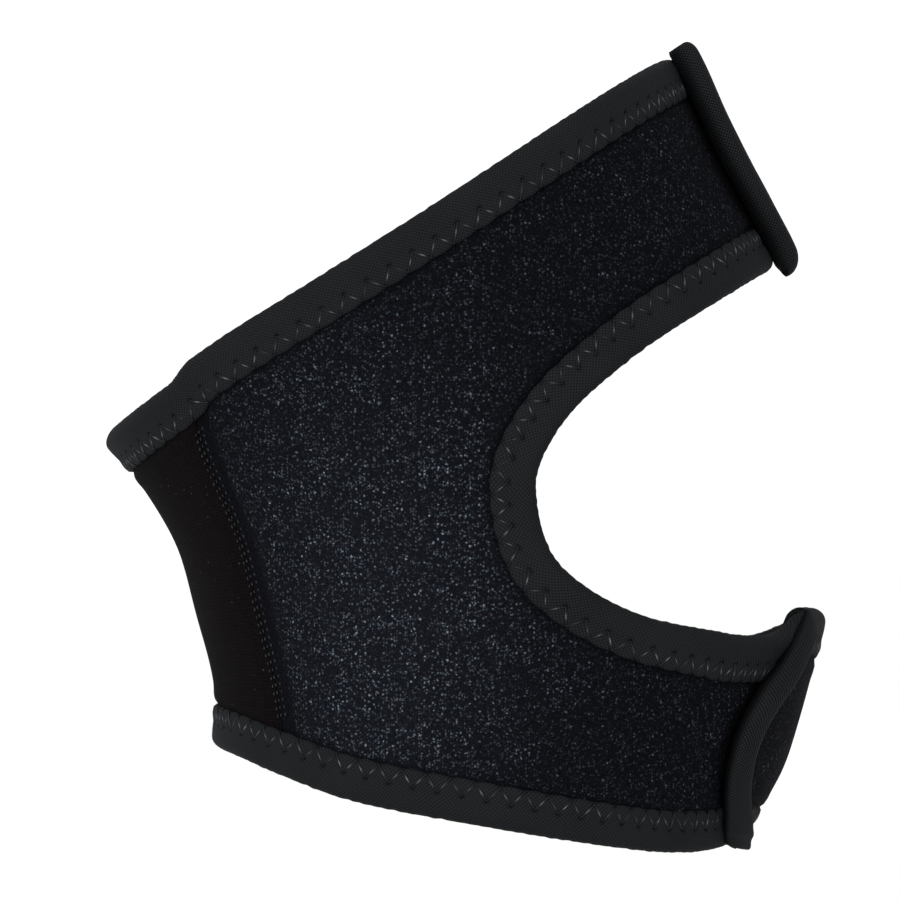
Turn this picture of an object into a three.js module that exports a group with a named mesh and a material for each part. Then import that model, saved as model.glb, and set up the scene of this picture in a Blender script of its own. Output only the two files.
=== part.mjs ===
// A pull-on knee strap with an open kneecap, in the shape that it takes on a slightly bent knee.
// Millimetres and degrees. +X is the front of the knee, +Z is up, and the origin is the middle of the leg.
import * as THREE from "three";

// The leg that the strap sits on.
const kneeDepth = 118; // front to back at the knee
const kneeWidth = 112; // side to side at the knee
const bendRadius = 138; // from the centre of the bend, behind the knee, to the middle of the leg
const bendTilt = 11; // how far the front of the middle section tips up
const flexion = 46; // between the planes of the top and the bottom edge
const sectionFullness = 0.03; // how far a section stands out of an ellipse at its corners

// The neoprene panels.
const foamThickness = 3;
const boundTop = 2.4; // the foam's outer face above the skin where a binding pinches it
const boundUnder = 0.3; // and its inner face
const lipThickness = 1.6; // where two panels stand up in a front seam
const upperStrapWidth = 41; // above the kneecap, at the front
const lowerStrapWidth = 42.3; // below the kneecap, at the front
const openingReach = 85; // from the front of the leg to the far end of the kneecap opening
const seamPeak = 5.3; // how far the lower strap's edge rises to its front seam
const backPanelDrop = 1.3; // how far the back panel's top edge lies below the side panels'

// The bindings and the front seams.
const tapeThickness = 0.8;
const bindingWidth = 7.4; // from a cut edge to the binding's inner edge
const upperLipHeight = 4.1; // of the two lips above the panels
const lowerLipHeight = 2.3;
const lowerSeamInset = 1.1; // from the bottom edge to the low end of the lower front seam
const leftEase = 1.3; // how much further the kneecap opening reaches on the wearer's left
const clearance = 0.3; // between neighbouring pieces

const { degToRad, lerp, smoothstep } = THREE.MathUtils;
const legRise = bendRadius * degToRad(flexion); // length of the leg's middle line between the edges
const frontScale = (bendRadius + kneeDepth / 2) / bendRadius; // length at the front for 1 on the middle line
const backScale = (bendRadius - kneeDepth / 2) / bendRadius; // and at the back

// Sections of the leg. up is a share of legRise, back and front are shares of kneeDepth from the middle line,
// and side is a share of kneeWidth.
const legSections = [
  { up: 0, back: 0.444, front: 0.362, side: 0.44 },
  { up: 0.07, back: 0.45, front: 0.393, side: 0.45 },
  { up: 0.15, back: 0.457, front: 0.421, side: 0.46 },
  { up: 0.37, back: 0.486, front: 0.479, side: 0.485 },
  { up: 0.59, back: 0.498, front: 0.501, side: 0.5 },
  { up: 0.8, back: 0.516, front: 0.511, side: 0.515 },
  { up: 1, back: 0.528, front: 0.515, side: 0.53 },
];

// The panels' edges. rise is a share of legRise, from the plane at that end of the leg.
const topEdge = [
  { angle: 0, rise: -0.005 },
  { angle: 40, rise: 0 },
  { angle: 80, rise: 0.003 },
  { angle: 105, rise: 0.013 },
  { angle: 125, rise: 0.026 },
  { angle: 150, rise: 0.024 },
  { angle: 180, rise: 0.015 },
];
const bottomEdge = [
  { angle: 0, rise: 0.014 },
  { angle: 14, rise: 0.024 },
  { angle: 28, rise: 0.018 },
  { angle: 50, rise: -0.003 },
  { angle: 90, rise: -0.022 },
  { angle: 118, rise: -0.032 },
  { angle: 136, rise: -0.016 },
  { angle: 155, rise: 0.004 },
  { angle: 180, rise: 0.012 },
];

// The line where a side panel meets the back panel.
const backSeam = [
  { up: 0, angle: 136 },
  { up: 0.2, angle: 140.3 },
  { up: 0.5, angle: 142 },
  { up: 0.8, angle: 140.5 },
  { up: 1, angle: 133.5 },
];

// The front seams. along is a share of the strap's width, from its lower edge, and flare is a share of
// the lips' height that they stand up more.
const upperSeam = [
  { along: 0, angle: 9, flare: 0.05 },
  { along: 0.25, angle: 14, flare: 0 },
  { along: 0.5, angle: 16.3, flare: -0.04 },
  { along: 0.75, angle: 14, flare: 0 },
  { along: 1, angle: 8.5, flare: 0.1 },
];
const lowerSeam = [
  { along: 0, angle: 23, flare: -0.1 },
  { along: 0.1, angle: 29.5, flare: 0 },
  { along: 0.22, angle: 35.2, flare: 0 },
  { along: 0.36, angle: 38.4, flare: 0.1 },
  { along: 0.5, angle: 38.6, flare: 0.25 },
  { along: 0.65, angle: 36, flare: 0.4 },
  { along: 0.8, angle: 30.3, flare: 0.35 },
  { along: 1, angle: 21.5, flare: 0.1 },
];

// The ends of the front seams' bindings, in millimetres: how far each runs past its seam, and over how much of
// it the lips' height falls off. left is the share of that height at the very end.
const upperSeamEnds = {
  low: { past: 3.8, rounding: 4.6, left: 0.15 },
  high: { past: 1.7, rounding: 2.8, left: 0.62 },
};
const lowerSeamEnds = {
  low: { past: 1.1, rounding: 2.4, left: 0.7 },
  high: { past: 1.2, rounding: 4.8, left: 0.2 },
};

// One side of the kneecap opening, from below the kneecap to above it. round is a share of openingReach,
// and height a share of the opening's height at the front.
const openingSide = [
  { round: 0.457, height: 0 },
  { round: 0.6, height: 0.02 },
  { round: 0.74, height: 0.058 },
  { round: 0.83, height: 0.108 },
  { round: 0.9, height: 0.172 },
  { round: 0.955, height: 0.25 },
  { round: 0.988, height: 0.34 },
  { round: 1, height: 0.46 },
  { round: 0.99, height: 0.6 },
  { round: 0.945, height: 0.71 },
  { round: 0.87, height: 0.805 },
  { round: 0.765, height: 0.876 },
  { round: 0.635, height: 0.93 },
  { round: 0.445, height: 0.97 },
  { round: 0.22, height: 0.993 },
];

// How the lower strap's edge rises to its front seam, as shares of seamPeak: on the seam's own side by degrees
// from the seam, and on the wearer's left by the angle, from past the seam.
const seamPeakSide = [
  { beside: 0, rise: 1 },
  { beside: 1.9, rise: 0.79 },
  { beside: 4.2, rise: 0.54 },
  { beside: 7.5, rise: 0.23 },
  { beside: 11.7, rise: 0.07 },
  { beside: 16.5, rise: 0.015 },
  { beside: 21, rise: 0 },
];
const seamPeakLeft = [
  { angle: 40, rise: 1 },
  { angle: 20, rise: 1 },
  { angle: 0, rise: 0.97 },
  { angle: -20, rise: 0.6 },
];

// A column of a table at any value of its key, smooth through the rows and straight beyond them.
function smoothValue(table, key, column, at) {
  let i = 0;
  while (i < table.length - 2 && at > table[i + 1][key]) i++;
  const slope = (row) => {
    const before = table[Math.max(row - 1, 0)];
    const after = table[Math.min(row + 1, table.length - 1)];
    return (after[column] - before[column]) / (after[key] - before[key]);
  };
  const [low, high] = [table[i], table[i + 1]];
  const span = high[key] - low[key];
  const t = (at - low[key]) / span;
  if (t < 0) return low[column] + slope(i) * t * span;
  if (t > 1) return high[column] + slope(i + 1) * (t - 1) * span;
  const rise = t * t * (3 - 2 * t);
  const leave = t * (1 - t) * (1 - t) * span * slope(i);
  const arrive = t * t * (1 - t) * span * slope(i + 1);
  return lerp(low[column], high[column], rise) + leave - arrive;
}

// A place on the leg is an angle round it, 0 at the front and positive to the wearer's right, and a height
// along the leg's middle line.
function skinPoint(angle, height) {
  const up = height / legRise;
  const turn = degToRad(angle);
  const tilt = degToRad(bendTilt + flexion * (up - 0.5));
  const fullness = 1 + sectionFullness * Math.sin(2 * turn) ** 2;
  const back = smoothValue(legSections, "up", "back", up) * kneeDepth;
  const front = smoothValue(legSections, "up", "front", up) * kneeDepth;
  const side = smoothValue(legSections, "up", "side", up) * kneeWidth;
  const reach = (front - back) / 2 + ((front + back) / 2) * Math.cos(turn) * fullness;
  return new THREE.Vector3(
    (bendRadius + reach) * Math.cos(tilt) - bendRadius * Math.cos(degToRad(bendTilt)),
    -side * Math.sin(turn) * fullness,
    (bendRadius + reach) * Math.sin(tilt) - bendRadius * Math.sin(degToRad(bendTilt)),
  );
}

// The skin's directions there: per degree round the leg, per millimetre up it, and straight out.
function skinFrame(angle, height) {
  const step = 0.05;
  const round = skinPoint(angle + step, height).sub(skinPoint(angle - step, height));
  const up = skinPoint(angle, height + step).sub(skinPoint(angle, height - step));
  round.divideScalar(2 * step);
  up.divideScalar(2 * step);
  return { round, up, out: up.clone().cross(round).normalize() };
}

function onLeg(angle, height, lift) {
  return skinPoint(angle, height).addScaledVector(skinFrame(angle, height).out, lift);
}

// A surface length round the leg as degrees.
function degreesFor(length, angle, height) {
  return length / skinFrame(angle, height).round.length();
}

function turnFromFront(angle) {
  return Math.abs(THREE.MathUtils.euclideanModulo(angle + 180, 360) - 180);
}

function backSeamAngle(height) {
  return smoothValue(backSeam, "up", "angle", height / legRise);
}

const stepTurn = 2.4; // degrees over which the top edge drops to the back panel

function topHeight(angle) {
  const turn = turnFromFront(angle);
  const seam = backSeamAngle(legRise);
  const drop = (backPanelDrop / backScale) * smoothstep(turn, seam - stepTurn, seam);
  return legRise * (1 + smoothValue(topEdge, "angle", "rise", turn)) - drop;
}

function bottomHeight(angle) {
  return legRise * smoothValue(bottomEdge, "angle", "rise", turnFromFront(angle));
}

const openingBottom = bottomHeight(0) + lowerStrapWidth / frontScale;
const openingTop = topHeight(0) - upperStrapWidth / frontScale;

// The front seams run along these lines, and past their ends.
const frontSeams = {
  upper: {
    table: upperSeam,
    ends: upperSeamEnds,
    lipHeight: upperLipHeight,
    low: openingTop,
    high: topHeight(upperSeam.at(-1).angle),
    peak: 0,
  },
  lower: {
    table: lowerSeam,
    ends: lowerSeamEnds,
    lipHeight: lowerLipHeight,
    low: bottomHeight(lowerSeam[0].angle) + lowerSeamInset / frontScale,
    high: openingBottom + seamPeak / frontScale,
    peak: seamPeak / frontScale,
  },
};

function seamValue(seam, column, height) {
  return smoothValue(seam.table, "along", column, (height - seam.low) / (seam.high - seam.low));
}

function seamAngle(seam, height) {
  return seamValue(seam, "angle", height);
}

// The lift of the lips' tops, which rounds off towards the ends of their binding.
function lipTop(seam, height) {
  const { low, high } = seam.ends;
  const rounded = (within, { past, rounding, left }) => {
    const short = THREE.MathUtils.clamp(1 - (within * frontScale + past) / rounding, 0, 1);
    return lerp(left, 1, Math.sqrt(1 - short * short));
  };
  const share = Math.min(rounded(height - seam.low, low), rounded(seam.high - height, high));
  return foamThickness + seam.lipHeight * (1 + seamValue(seam, "flare", height)) * share;
}

// The angle of a place at a square distance from a front seam, to the wearer's right of it.
function besideSeam(seam, height, distance) {
  const middle = seamAngle(seam, height);
  const { round, up } = skinFrame(middle, height);
  const lean = ((seamAngle(seam, height + 0.5) - seamAngle(seam, height - 0.5)) * round.length()) / up.length();
  return middle + (distance * Math.hypot(1, lean)) / round.length();
}

// Across a strap, places lean with its front seam, and less towards the strap's root.
const armRoot = 60;

function strapShare(seam, side, angle, height) {
  const from = seamAngle(seam, height);
  return THREE.MathUtils.clamp((angle - from) / (side * armRoot - from), 0, 1);
}

// The edge of the opening on one side, 1 for the wearer's right and -1 for the left, from past the lower
// front seam to past the upper one, as a curve through angles and heights. On the right the peak comes on top.
function openingCurve(side) {
  const past = 18 * side;
  const ease = side > 0 ? 0 : leftEase;
  const low = openingBottom - ease / frontScale;
  const high = openingTop + ease / frontScale;
  const reach = openingReach + degreesFor(ease, openingReach, legRise / 2);
  const risen = ({ angle, rise }) => new THREE.Vector2(angle, openingBottom + (rise * seamPeak) / frontScale);
  const start = side > 0 ? [risen({ angle: lowerSeam.at(-1).angle - past, rise: 0 })] : seamPeakLeft.map(risen);
  const sideways = openingSide.map(
    ({ round, height }) => new THREE.Vector2(side * round * reach, lerp(low, high, height)),
  );
  const end = new THREE.Vector2(upperSeam[0].angle - past, openingTop);
  return new THREE.SplineCurve([...start, ...sideways, end]);
}

function peakHeight(angle) {
  const beside = angle - seamAngle(frontSeams.lower, openingBottom);
  const row = THREE.MathUtils.clamp(beside, 0, seamPeakSide.at(-1).beside);
  return (smoothValue(seamPeakSide, "beside", "rise", row) * seamPeak) / frontScale;
}

const openings = { right: openingCurve(1), left: openingCurve(-1) };

// Where the opening's cut edge crosses an angle in its lower or its upper part, as a share of its length.
function openingShare(curve, angle, upper) {
  let [near, far] = upper ? [1, 0.5] : [0, 0.5];
  const nearSide = Math.sign(curve.getPointAt(near).x - angle);
  for (let i = 0; i < 40; i++) {
    const middle = (near + far) / 2;
    if (Math.sign(curve.getPointAt(middle).x - angle) === nearSide) near = middle;
    else far = middle;
  }
  return (near + far) / 2;
}

function openingHeight(curve, angle, upper) {
  return curve.getPointAt(openingShare(curve, angle, upper)).y;
}

// A closed body from rows of triangles' corners: an outer and an inner grid, joined all round.
function sheetSolid(outer, inner) {
  const rows = outer.length;
  const columns = outer[0].length;
  const corners = [...outer.flat(), ...inner.flat()];
  const at = (row, column, under) => (under ? rows * columns : 0) + row * columns + column;
  const faces = [];
  const quad = (a, b, c, d) => faces.push(a, b, c, a, c, d);
  for (let i = 0; i < rows - 1; i++)
    for (let j = 0; j < columns - 1; j++) {
      quad(at(i, j), at(i + 1, j), at(i + 1, j + 1), at(i, j + 1));
      quad(at(i, j, 1), at(i, j + 1, 1), at(i + 1, j + 1, 1), at(i + 1, j, 1));
    }
  for (let i = 0; i < rows - 1; i++) {
    quad(at(i, 0), at(i, 0, 1), at(i + 1, 0, 1), at(i + 1, 0));
    quad(at(i, columns - 1), at(i + 1, columns - 1), at(i + 1, columns - 1, 1), at(i, columns - 1, 1));
  }
  for (let j = 0; j < columns - 1; j++) {
    quad(at(0, j), at(0, j + 1), at(0, j + 1, 1), at(0, j, 1));
    quad(at(rows - 1, j), at(rows - 1, j, 1), at(rows - 1, j + 1, 1), at(rows - 1, j + 1));
  }
  return bodyFrom(corners, faces);
}

// A closed body from a loop of points repeated along a path, with flat ends.
function sweptSolid(loops, endFaces) {
  const count = loops[0].length;
  const faces = [];
  for (let i = 0; i < loops.length - 1; i++)
    for (let j = 0; j < count; j++) {
      const k = (j + 1) % count;
      const [a, b, c, d] = [i * count + j, i * count + k, (i + 1) * count + k, (i + 1) * count + j];
      faces.push(a, b, c, a, c, d);
    }
  const last = (loops.length - 1) * count;
  for (const [a, b, c] of endFaces) faces.push(a, c, b, last + a, last + b, last + c);
  return bodyFrom(loops.flat(), faces);
}

function bodyFrom(corners, faces) {
  const volume = faces.reduce((sum, _, i) => {
    if (i % 3) return sum;
    const [a, b, c] = [corners[faces[i]], corners[faces[i + 1]], corners[faces[i + 2]]];
    return sum + a.dot(b.clone().cross(c));
  }, 0);
  if (volume < 0) faces.reverse();
  const geometry = new THREE.BufferGeometry().setFromPoints(corners);
  geometry.setIndex(faces);
  geometry.computeVertexNormals();
  return geometry;
}

// The places across a panel, as shares from one edge to the other, with the foam pinched at both. first and
// last are the shares that take the line across a millimetre away from an edge.
const pinchWidth = bindingWidth + 0.8;
const foamEdge = pinchWidth + 1.6;

function acrossPanel(first, last) {
  const inside = [0, 0.33, 0.67, 1].map((share) => lerp(foamEdge * first, 1 - foamEdge * last, share));
  const bound = { under: boundUnder, top: boundTop };
  return [
    { share: 0, ...bound },
    { share: pinchWidth * first, ...bound },
    ...inside.map((share) => ({ share, under: 0, top: foamThickness })),
    { share: 1 - pinchWidth * last, ...bound },
    { share: 1, ...bound },
  ];
}

// The direction into a panel from place i of its edge, as degrees and height per millimetre, and how square
// it is to the edge's sides there.
function inwardAt(edge, i, turn) {
  const { round, up, out } = skinFrame(edge[i].x, edge[i].y);
  const along = (from, to) => new THREE.Vector3()
    .addScaledVector(round, to.x - from.x)
    .addScaledVector(up, to.y - from.y);
  const sides = [];
  if (edge[i - 1]) sides.push(along(edge[i - 1], edge[i]));
  if (edge[i + 1]) sides.push(along(edge[i], edge[i + 1]));
  const squares = sides.map((side) => out.clone().cross(side).normalize().multiplyScalar(turn));
  const inward = squares.reduce((sum, square) => sum.add(square), new THREE.Vector3()).normalize();
  const slant = Math.min(...squares.map((square) => square.dot(inward)));
  return { step: patternStep(inward, round, up), slant };
}

// A side panel is shaped like a C: its rows run from its outer edges to the kneecap opening, and its
// columns from the upper front seam round the opening to the lower one.
const stationLength = 5.2;

// The panel's stations at a front seam, from the top of the lip to the flat panel, each as a distance from
// the seam and a lift from the skin.
function lipStations(lipTop, { under, top }) {
  const face = clearance / 2;
  const shoulder = lipTop - lipThickness * 0.7;
  return [
    { inner: [face, lipTop], outer: [face + lipThickness * 0.45, lipTop] },
    { inner: [face, shoulder], outer: [face + lipThickness, shoulder] },
    { inner: [face, top / 2], outer: [face + lipThickness, top + 0.6] },
    { inner: [face + top / 2, under], outer: [face + lipThickness + 0.6, top] },
  ];
}

// How much of the peak at the seam the foam fills inside the fold of the right opening's binding.
const foamPeak = 0.6;

// The rows across a front seam, shared by its lips and its binding.
function seamRows(seam, peakShare) {
  const width = seam.high - seam.peak - seam.low;
  const perMillimetre = 1.1 / (width * frontScale);
  return acrossPanel(perMillimetre, perMillimetre).map((row) => ({
    ...row,
    height: row.share < 1 ? seam.low + row.share * width : seam.high - (1 - peakShare) * seam.peak,
  }));
}

function lipColumns(side, seam, fromTop) {
  const upward = seamRows(seam, side > 0 ? foamPeak : 1);
  const rows = fromTop ? upward.reverse() : upward;
  const stations = rows.map((row) => lipStations(lipTop(seam, row.height), row));
  return stations[0].map((_, i) => {
    const column = (face) =>
      rows.map(({ height }, j) => {
        const [beside, lift] = stations[j][i][face];
        return onLeg(besideSeam(seam, height, side * beside), height, lift);
      });
    return { outer: column("outer"), inner: column("inner") };
  });
}

// The panel between a front seam and the root of its strap. Its columns lean with the seam.
function strapColumns(side, seam, curve, upper) {
  const edgeHeight = upper ? topHeight : bottomHeight;
  const middle = (seam.low + seam.high) / 2;
  const width = Math.abs(side * armRoot - seamAngle(seam, middle));
  const beside = degreesFor(foamThickness + lipThickness + 3.6, side * armRoot, middle) / width;
  const count = Math.round((1 - beside) * width / stationLength);
  const shares = Array.from({ length: count }, (_, i) => lerp(beside, 1, i / count));
  return [beside * 0.55, ...shares].map((share) => {
    const angleAt = (height) => lerp(seamAngle(seam, height), side * armRoot, share);
    const placeAt = (across) => {
      let height = middle;
      for (let step = 0; step < 6; step++) {
        const angle = angleAt(height);
        height = lerp(edgeHeight(angle), openingHeight(curve, angle, upper), across);
      }
      if (across === 1 && !upper && side > 0) height += foamPeak * peakHeight(angleAt(height));
      return new THREE.Vector2(angleAt(height), height);
    };
    const [outer, inner] = [placeAt(0), placeAt(0.999)];
    const perMillimetre = 1.05 / onLeg(outer.x, outer.y, 0).distanceTo(onLeg(inner.x, inner.y, 0));
    return columnOf(acrossPanel(perMillimetre, perMillimetre), placeAt);
  });
}

function columnOf(rows, placeAt) {
  const places = rows.map(({ share }) => placeAt(share));
  return {
    outer: places.map(({ x, y }, i) => onLeg(x, y, rows[i].top)),
    inner: places.map(({ x, y }, i) => onLeg(x, y, rows[i].under)),
  };
}

// The outer edge of a side panel behind its straps: along the top, down the back seam and along the bottom.
function edgeBehindStraps(side) {
  const corner = (height) => {
    const seam = backSeamAngle(height);
    return side * (seam - degreesFor(clearance / 2, seam, height));
  };
  const [topCorner, bottomCorner] = [corner(legRise), corner(0)];
  const topCount = 9;
  const seamCount = 10;
  const edge = [];
  for (let i = 0; i < topCount; i++) {
    const angle = lerp(side * armRoot, topCorner, i / topCount);
    edge.push(new THREE.Vector2(angle, topHeight(angle)));
  }
  const [low, high] = [bottomHeight(bottomCorner), topHeight(topCorner)];
  for (let i = 0; i <= seamCount; i++) {
    const height = lerp(high, low, i / seamCount);
    edge.push(new THREE.Vector2(corner(height), height));
  }
  for (let i = 1; i <= topCount; i++) {
    const angle = lerp(bottomCorner, side * armRoot, i / topCount);
    edge.push(new THREE.Vector2(angle, bottomHeight(angle)));
  }
  return edge;
}

function sidePanel(side, curve) {
  const edge = edgeBehindStraps(side);
  const from = openingShare(curve, side * armRoot, true);
  const to = openingShare(curve, side * armRoot, false);
  const cut = edge.map((_, i) => curve.getPointAt(lerp(from, to, i / (edge.length - 1))));
  const behind = edge.map((place, i) => {
    const length = onLeg(place.x, place.y, 0).distanceTo(onLeg(cut[i].x, cut[i].y, 0));
    const first = inwardAt(edge, i, side);
    const last = inwardAt(cut, i, -side);
    const line = new THREE.CubicBezierCurve(
      place,
      place.clone().addScaledVector(first.step, length / 3),
      cut[i].clone().addScaledVector(last.step, length / 3),
      cut[i],
    );
    const rows = acrossPanel(1 / (length * first.slant), 1 / (length * last.slant));
    return columnOf(rows, (share) => line.getPoint(share));
  });
  const { upper, lower } = frontSeams;
  const columns = [
    ...lipColumns(side, upper, true),
    ...strapColumns(side, upper, curve, true),
    ...behind,
    ...strapColumns(side, lower, curve, false).reverse(),
    ...lipColumns(side, lower, false).reverse(),
  ];
  return sheetSolid(columns.map((column) => column.outer), columns.map((column) => column.inner));
}

function backPanel() {
  const rows = 12;
  const turns = 14;
  const columns = [];
  for (let i = 0; i <= turns; i++) {
    const angleAt = (height) => {
      const seam = backSeamAngle(height) + degreesFor(clearance / 2, backSeamAngle(height), height);
      return lerp(seam, 360 - seam, i / turns);
    };
    const [low, high] = [bottomHeight(angleAt(0)), topHeight(angleAt(legRise))];
    const pinch = pinchWidth / backScale;
    const heights = [low, low + pinch];
    for (let j = 0; j <= rows - 4; j++)
      heights.push(lerp(low + foamEdge / backScale, high - foamEdge / backScale, j / (rows - 4)));
    heights.push(high - pinch, high);
    const bound = (j) => i === 0 || i === turns || j < 2 || j > rows - 2;
    columns.push({
      outer: heights.map((height, j) => onLeg(angleAt(height), height, bound(j) ? boundTop : foamThickness)),
      inner: heights.map((height, j) => onLeg(angleAt(height), height, bound(j) ? boundUnder : 0)),
    });
  }
  return sheetSolid(columns.map((column) => column.outer), columns.map((column) => column.inner));
}

// The section of a folded tape over a cut edge. inward is from the cut edge, lift from the skin.
function tapeSection() {
  const reach = clearance + tapeThickness;
  const corner = reach * Math.SQRT1_2;
  return [
    { inward: bindingWidth, lift: boundTop + reach },
    { inward: 0, lift: boundTop + reach },
    { inward: -corner, lift: boundTop + corner },
    { inward: -reach, lift: boundTop },
    { inward: -reach, lift: 0 },
    { inward: -corner, lift: -corner },
    { inward: 0, lift: -reach },
    { inward: bindingWidth, lift: -reach },
    { inward: bindingWidth, lift: -clearance },
    { inward: -clearance, lift: -clearance },
    { inward: -clearance, lift: boundTop + clearance },
    { inward: bindingWidth, lift: boundTop + clearance },
  ];
}

// A binding along an edge, whose path is places with the edge's peak above them. Each end has a seam and a
// side of it.
function edgeBinding(path, inwardSide, ends) {
  const section = tapeSection();
  const loops = path.map(({ angle, height, peak }, i) => {
    const [before, after] = [path[Math.max(i - 1, 0)], path[Math.min(i + 1, path.length - 1)]];
    const { round, up, out } = skinFrame(angle, height);
    const tangent = new THREE.Vector3()
      .addScaledVector(round, after.angle - before.angle)
      .addScaledVector(up, after.height - before.height);
    const inward = out.clone().cross(tangent).normalize().multiplyScalar(inwardSide);
    const step = patternStep(inward, round, up);
    const { seam, side, turn } = ends[i < path.length / 2 ? 0 : 1];
    const share = strapShare(seam, side, angle - turn, height);
    return section.map((point) => {
      const pointHeight = height + step.y * point.inward + peak * Math.min(1, 1 - point.inward / bindingWidth);
      const lean = seamAngle(seam, pointHeight) - seamAngle(seam, height);
      return onLeg(angle + lerp(lean, step.x * point.inward, share), pointHeight, point.lift);
    });
  });
  const flat = section.map((point) => new THREE.Vector2(point.inward, point.lift));
  return sweptSolid(loops, THREE.ShapeUtils.triangulateShape(flat, []));
}

// A surface direction as degrees round the leg and millimetres up it.
function patternStep(direction, round, up) {
  const cross = round.dot(up);
  const scale = round.lengthSq() * up.lengthSq() - cross * cross;
  return new THREE.Vector2(
    (direction.dot(round) * up.lengthSq() - direction.dot(up) * cross) / scale,
    (direction.dot(up) * round.lengthSq() - direction.dot(round) * cross) / scale,
  );
}

// Half the width of a front seam's binding, and the room that an edge binding leaves beside it.
const seamHalfWidth = clearance / 2 + lipThickness + clearance + tapeThickness;
const besideSeamBinding = seamHalfWidth + clearance;

function roundLegBinding(edgeHeight, seam, inwardSide) {
  const stations = 76;
  const end = (side) => {
    let angle = 0;
    for (let i = 0; i < 6; i++) angle = besideSeam(seam, edgeHeight(angle), side * besideSeamBinding);
    return angle;
  };
  const [start, finish] = [end(1), end(-1) + 360];
  const corner = backSeamAngle(legRise);
  const corners = [corner - stepTurn, corner, 360 - corner, 360 - corner + stepTurn];
  const angles = Array.from({ length: stations + 1 }, (_, i) => lerp(start, finish, i / stations));
  const clear = angles.filter((angle) => corners.every((at) => Math.abs(angle - at) > stepTurn / 2));
  const path = [...clear, ...corners].sort((a, b) => a - b);
  const places = path.map((angle) => ({ angle, height: edgeHeight(angle), peak: 0 }));
  return edgeBinding(places, inwardSide, [{ seam, side: 1, turn: 0 }, { seam, side: -1, turn: 360 }]);
}

function openingBinding(side, curve) {
  const stations = side > 0 ? 40 : 46;
  const { upper, lower } = frontSeams;
  const lowerEnd = side > 0 ? lower.high - lower.peak : lower.high;
  const from = openingShare(curve, besideSeam(lower, lowerEnd, side * besideSeamBinding), false);
  const to = openingShare(curve, besideSeam(upper, upper.low, side * besideSeamBinding), true);
  const steps = [0, 0.4, 0.8, 1.2, 1.6, ...Array.from({ length: stations - 1 }, (_, i) => i + 2)];
  const path = steps.map((step) => {
    const place = curve.getPointAt(lerp(from, to, step / stations));
    const peak = side > 0 && step < stations / 2 ? peakHeight(place.x) : 0;
    return { angle: place.x, height: place.y, peak };
  });
  return edgeBinding(path, side, [{ seam: lower, side, turn: 0 }, { seam: upper, side, turn: 0 }]);
}

// The tape over the two lips of a front seam, closed over both ends.
function seamBinding(seam) {
  const base = foamThickness + 0.7;
  const arch = (height, halfWidth, over, size) => {
    const top = lipTop(seam, height) + over;
    const crown = Math.max(top - halfWidth * 0.75, lerp(base, top, 0.3));
    const side = lerp(base, crown, 0.6);
    const points = [[-halfWidth, base], [-halfWidth, side]];
    for (let i = 0; i <= 6; i++) {
      const turn = (Math.PI * i) / 6;
      points.push([-halfWidth * Math.cos(turn), crown + (top - crown) * Math.sin(turn)]);
    }
    points.push([halfWidth, side], [halfWidth, base]);
    return points.map(([beside, lift]) =>
      onLeg(besideSeam(seam, height, beside * size), height, lerp(base, lift, size)));
  };
  const wall = tapeThickness / frontScale;
  const end = (height, direction, { past, rounding }) =>
    [0, 0, 0.12, 0.4, 1].map((share, i) => {
      const outer = height + (direction * (past - rounding * share)) / frontScale;
      return { outer, inner: outer - direction * wall * (1 - share), size: i ? 1 : 0.12 };
    });
  const low = end(seam.low, -1, seam.ends.low);
  const high = end(seam.high, 1, seam.ends.high).reverse();
  const isMiddle = ({ height }) => height > low.at(-1).outer + 1 && height < high[0].outer - 1;
  const middle = seamRows(seam, 1).filter(isMiddle).map(({ height }) => ({ outer: height, inner: height, size: 1 }));
  const rows = [...low, ...middle, ...high];
  return sheetSolid(
    rows.map(({ outer, size }) => arch(outer, seamHalfWidth, clearance + tapeThickness, size)),
    rows.map(({ inner, size }) => arch(inner, seamHalfWidth - tapeThickness, clearance, size)),
  );
}

// Colours and finishes.
const loopCloth = new THREE.MeshStandardMaterial({ color: 0x15171c, roughness: 0.8, metalness: 0 });
const backCloth = new THREE.MeshStandardMaterial({ color: 0x121110, roughness: 0.85, metalness: 0 });
const bindingTape = new THREE.MeshStandardMaterial({ color: 0x232526, roughness: 0.75, metalness: 0 });

const strap = new THREE.Group();
function addPiece(name, geometry, material) {
  const mesh = new THREE.Mesh(geometry, material);
  mesh.name = name;
  strap.add(mesh);
}

addPiece("right_panel", sidePanel(1, openings.right), loopCloth);
addPiece("left_panel", sidePanel(-1, openings.left), loopCloth);
addPiece("back_panel", backPanel(), backCloth);
addPiece("top_binding", roundLegBinding(topHeight, frontSeams.upper, 1), bindingTape);
addPiece("bottom_binding", roundLegBinding(bottomHeight, frontSeams.lower, -1), bindingTape);
addPiece("right_opening_binding", openingBinding(1, openings.right), bindingTape);
addPiece("left_opening_binding", openingBinding(-1, openings.left), bindingTape);
addPiece("upper_seam_binding", seamBinding(frontSeams.upper), bindingTape);
addPiece("lower_seam_binding", seamBinding(frontSeams.lower), bindingTape);

export default strap;
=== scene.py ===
# An open kneecap support in foam cloth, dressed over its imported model. The shapes are worked out in
# millimetres and made in metres, with +X the front of the knee and +Z up the leg.
import math
import bpy
import numpy as np
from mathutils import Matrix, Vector, kdtree, noise


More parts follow.
